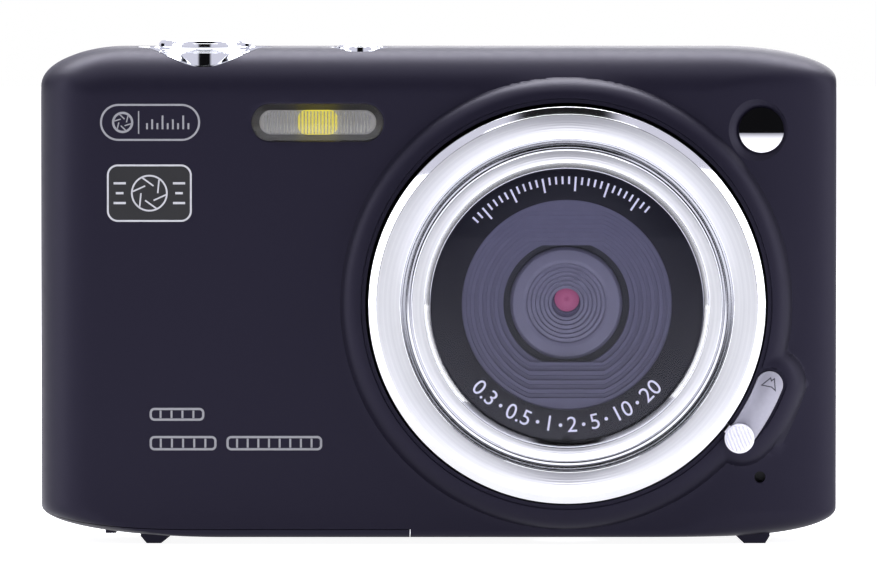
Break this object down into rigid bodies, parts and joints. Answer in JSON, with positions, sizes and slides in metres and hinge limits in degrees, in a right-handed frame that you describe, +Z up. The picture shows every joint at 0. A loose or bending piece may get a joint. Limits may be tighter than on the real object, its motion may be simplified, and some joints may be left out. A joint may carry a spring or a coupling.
{
  "type": "compact digital camera",
  "caption": "Compact digital camera with a black case, a bright spun lens ring, a macro lever, top buttons, rear screen and keys, and a hinged battery door.",
  "frame": {"origin": "centre of the bounding box's base, in the plane of the feet", "axes": "+X to the right seen from the front, front facing -Y, +Z up"},
  "size_m": [0.105, 0.03, 0.0662],
  "materials": {
    "case_black": "fine matt soft-touch paint on moulded ABS",
    "rear_black": "finely textured moulded ABS",
    "frame_plastic": "moulded glass-filled nylon",
    "bright_metal": "diamond-cut and spun aluminium, bright anodised",
    "satin_silver": "satin silver paint on ABS",
    "chrome_plate": "bright chrome plate on ABS",
    "steel": "plated steel",
    "lens_glass": "clear hard-coated acrylic",
    "coated_glass": "coated optical glass",
    "filter_glass": "coated filter glass",
    "lens_black": "matt black moulded polycarbonate",
    "mask_black": "black ink printed behind the window",
    "flash_lens": "moulded acrylic with fine ribs",
    "reflector": "vacuum-metallised plastic",
    "led": "phosphor under clear silicone",
    "mirror": "polished, silvered",
    "circuit_board": "solder-masked glass epoxy",
    "chip": "moulded epoxy",
    "gold": "gold-plated spring metal",
    "key_plastic": "satin moulded ABS",
    "screen_glass": "black-bordered hard-coated acrylic",
    "screen_panel": "liquid-crystal panel in its frame",
    "lamp": "clear tinted light guide",
    "battery_wrap": "printed film over an aluminium can",
    "card_plastic": "moulded polycarbonate"
  },
  "bodies": {
    "camera": {"front_shell": "case_black", "rear_cover": "rear_black", "mid_frame": "frame_plastic", "battery_door_pin": "steel", "tripod_socket": "steel", "strap_lug": "steel", "case_screws": "steel", "board_screws": "steel", "lens_ring_outer": "bright_metal", "lens_ring_inner": "bright_metal", "lens_window": "lens_glass", "lens_mask": "mask_black", "lens_hood": "lens_black", "lens_holder": "frame_plastic", "ir_filter": "filter_glass", "image_sensor": "chip", "sensor_board": "circuit_board", "macro_strip": "satin_silver", "flash_window": "flash_lens", "flash_reflector": "reflector", "flash_led": "led", "flash_board": "circuit_board", "selfie_mirror": "mirror", "microphone": "chip", "shutter_bezel": "chrome_plate", "power_bezel": "chrome_plate", "top_board": "circuit_board", "tact_switches": "steel", "screen_window": "screen_glass", "screen_panel": "screen_panel", "key_board": "circuit_board", "key_domes": "gold", "status_lamp": "lamp", "main_board": "circuit_board", "main_chips": "chip", "speaker": "chip", "battery": "battery_wrap", "battery_contacts": "gold", "card_socket": "steel", "usb_socket": "steel"},
    "battery_door": {"battery_door": "case_black"},
    "macro_lever": {"macro_knob": "satin_silver", "macro_cam": "frame_plastic"},
    "focus_barrel": {"lens_barrel": "lens_black", "front_element": "coated_glass", "rear_element": "coated_glass"},
    "shutter_button": {"shutter_button": "chrome_plate"},
    "power_button": {"power_button": "chrome_plate"},
    "zoom_wide_key": {"zoom_wide_key": "key_plastic"},
    "zoom_tele_key": {"zoom_tele_key": "key_plastic"},
    "mode_key": {"mode_key": "key_plastic"},
    "menu_key": {"menu_key": "key_plastic"},
    "playback_key": {"playback_key": "key_plastic"},
    "nav_up_key": {"nav_up_key": "key_plastic"},
    "nav_down_key": {"nav_down_key": "key_plastic"},
    "nav_left_key": {"nav_left_key": "key_plastic"},
    "nav_right_key": {"nav_right_key": "key_plastic"},
    "ok_key": {"ok_key": "key_plastic"},
    "memory_card": {"memory_card": "card_plastic"}
  },
  "joints": [
    {"name": "battery_door_hinge", "type": "hinge", "parent": "camera", "child": "battery_door", "pos_m": [-0.0228, 0.00995, 0.0022], "axis": [1, 0, 0], "range_deg": [0, 95]},
    {"name": "macro_lever_turn", "type": "hinge", "parent": "camera", "child": "macro_lever", "pos_m": [0.01682, -0.005, 0.03176], "axis": [0, -1, 0], "range_deg": [0, 16.1]},
    {"name": "focus_slide", "type": "slide", "parent": "camera", "child": "focus_barrel", "axis": [0, -1, 0], "range_m": [0, 0.0003]},
    {"name": "shutter_press", "type": "slide", "parent": "camera", "child": "shutter_button", "axis": [0, 0, -1], "range_m": [0, 0.001], "stiffness_N_per_m": 1500, "springref_m": -0.0003},
    {"name": "power_press", "type": "slide", "parent": "camera", "child": "power_button", "axis": [0, 0, -1], "range_m": [0, 0.0005], "stiffness_N_per_m": 2500, "springref_m": -0.0002},
    {"name": "zoom_wide_press", "type": "slide", "parent": "camera", "child": "zoom_wide_key", "axis": [0, -1, 0], "range_m": [0, 0.00035], "stiffness_N_per_m": 3000, "springref_m": -0.0001},
    {"name": "zoom_tele_press", "type": "slide", "parent": "camera", "child": "zoom_tele_key", "axis": [0, -1, 0], "range_m": [0, 0.00035], "stiffness_N_per_m": 3000, "springref_m": -0.0001},
    {"name": "mode_press", "type": "slide", "parent": "camera", "child": "mode_key", "axis": [0, -1, 0], "range_m": [0, 0.00035], "stiffness_N_per_m": 3000, "springref_m": -0.0001},
    {"name": "menu_press", "type": "slide", "parent": "camera", "child": "menu_key", "axis": [0, -1, 0], "range_m": [0, 0.00035], "stiffness_N_per_m": 3000, "springref_m": -0.0001},
    {"name": "playback_press", "type": "slide", "parent": "camera", "child": "playback_key", "axis": [0, -1, 0], "range_m": [0, 0.00035], "stiffness_N_per_m": 3000, "springref_m": -0.0001},
    {"name": "nav_up_press", "type": "slide", "parent": "camera", "child": "nav_up_key", "axis": [0, -1, 0], "range_m": [0, 0.00035], "stiffness_N_per_m": 3000, "springref_m": -0.0001},
    {"name": "nav_down_press", "type": "slide", "parent": "camera", "child": "nav_down_key", "axis": [0, -1, 0], "range_m": [0, 0.00035], "stiffness_N_per_m": 3000, "springref_m": -0.0001},
    {"name": "nav_left_press", "type": "slide", "parent": "camera", "child": "nav_left_key", "axis": [0, -1, 0], "range_m": [0, 0.00035], "stiffness_N_per_m": 3000, "springref_m": -0.0001},
    {"name": "nav_right_press", "type": "slide", "parent": "camera", "child": "nav_right_key", "axis": [0, -1, 0], "range_m": [0, 0.00035], "stiffness_N_per_m": 3000, "springref_m": -0.0001},
    {"name": "ok_press", "type": "slide", "parent": "camera", "child": "ok_key", "axis": [0, -1, 0], "range_m": [0, 0.00035], "stiffness_N_per_m": 3000, "springref_m": -0.0001},
    {"name": "card_push", "type": "slide", "parent": "camera", "child": "memory_card", "axis": [0, 0, 1], "range_m": [0, 0.0008], "stiffness_N_per_m": 800, "springref_m": -0.0004}
  ],
  "couplings": [
    {"joint": "macro_lever_turn", "follows": "focus_slide", "rad_per_m": 936.3}
  ]
}
